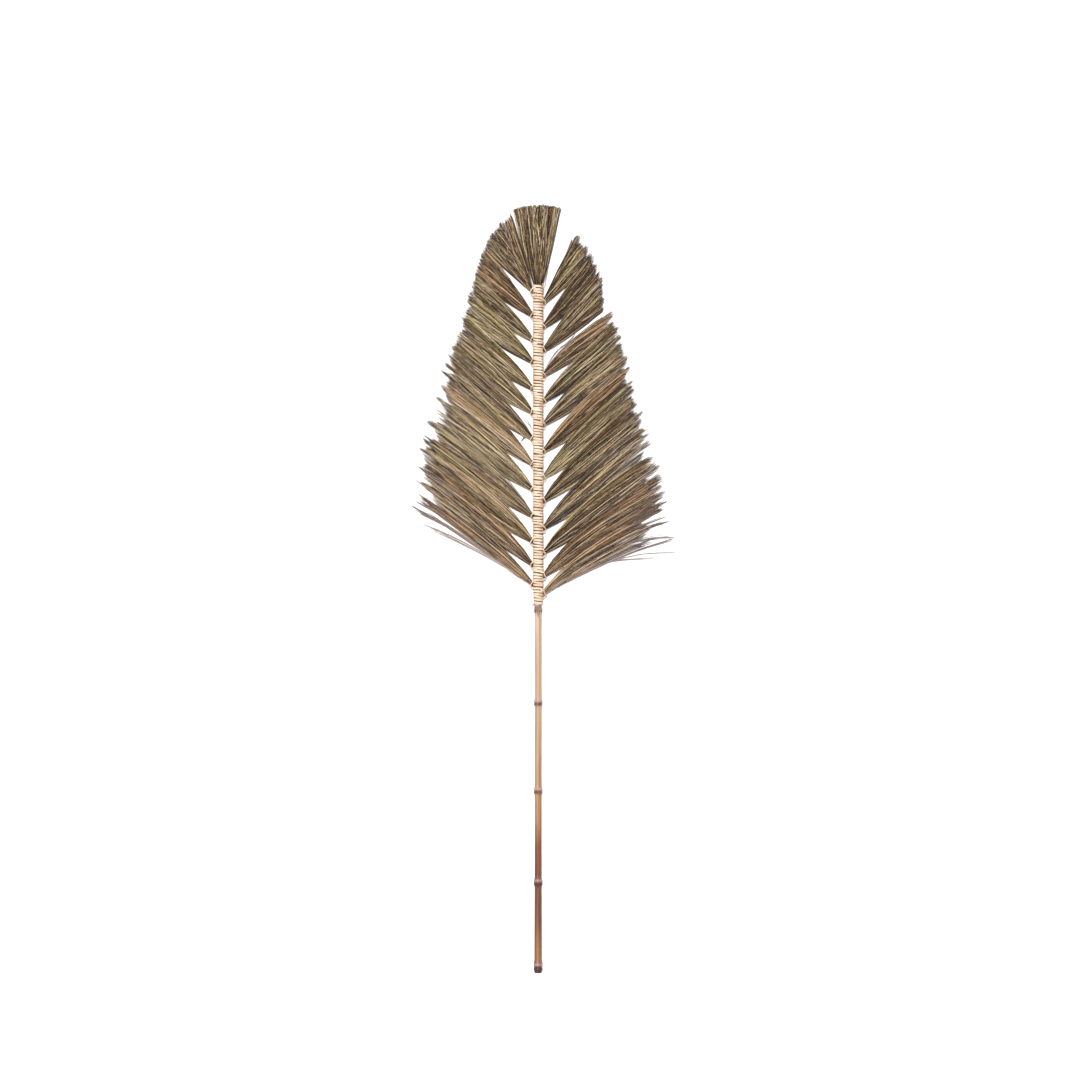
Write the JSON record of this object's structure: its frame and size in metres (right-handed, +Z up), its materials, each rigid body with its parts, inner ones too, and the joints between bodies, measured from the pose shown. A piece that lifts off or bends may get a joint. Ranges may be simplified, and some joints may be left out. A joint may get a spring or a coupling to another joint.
{
  "type": "dried grass plume",
  "caption": "Tall dried grass plume lying flat: fans of fine stalks bound with pale rattan strip up both sides of a slim bamboo cane, and a cut fan at the tip.",
  "frame": {"origin": "on the surface that the plume lies on, under the middle of its bounding box", "axes": "+Y along the cane from the cut butt towards the plume's tip, +Z up from the surface, +X to the plume's right as seen from above"},
  "size_m": [0.5152, 1.4971, 0.0192],
  "materials": {
    "bamboo": "glossy dry culm, pale tan near the plume and brown towards the butt",
    "rattan": "satin split strip, cream with brown gaps",
    "grass": "matt dry stalks, khaki to olive brown"
  },
  "bodies": {
    "root": {"cane": "bamboo", "binding": "rattan", "bundle_top": "grass", "bundle_left_01": "grass", "bundle_left_02": "grass", "bundle_left_03": "grass", "bundle_left_04": "grass", "bundle_left_05": "grass", "bundle_left_06": "grass", "bundle_left_07": "grass", "bundle_left_08": "grass", "bundle_left_09": "grass", "bundle_left_10": "grass", "bundle_left_11": "grass", "bundle_left_12": "grass", "bundle_left_13": "grass", "bundle_right_01": "grass", "bundle_right_02": "grass", "bundle_right_03": "grass", "bundle_right_04": "grass", "bundle_right_05": "grass", "bundle_right_06": "grass", "bundle_right_07": "grass", "bundle_right_08": "grass", "bundle_right_09": "grass", "bundle_right_10": "grass", "bundle_right_11": "grass", "bundle_right_12": "grass", "bundle_right_13": "grass"}
  },
  "joints": []
}
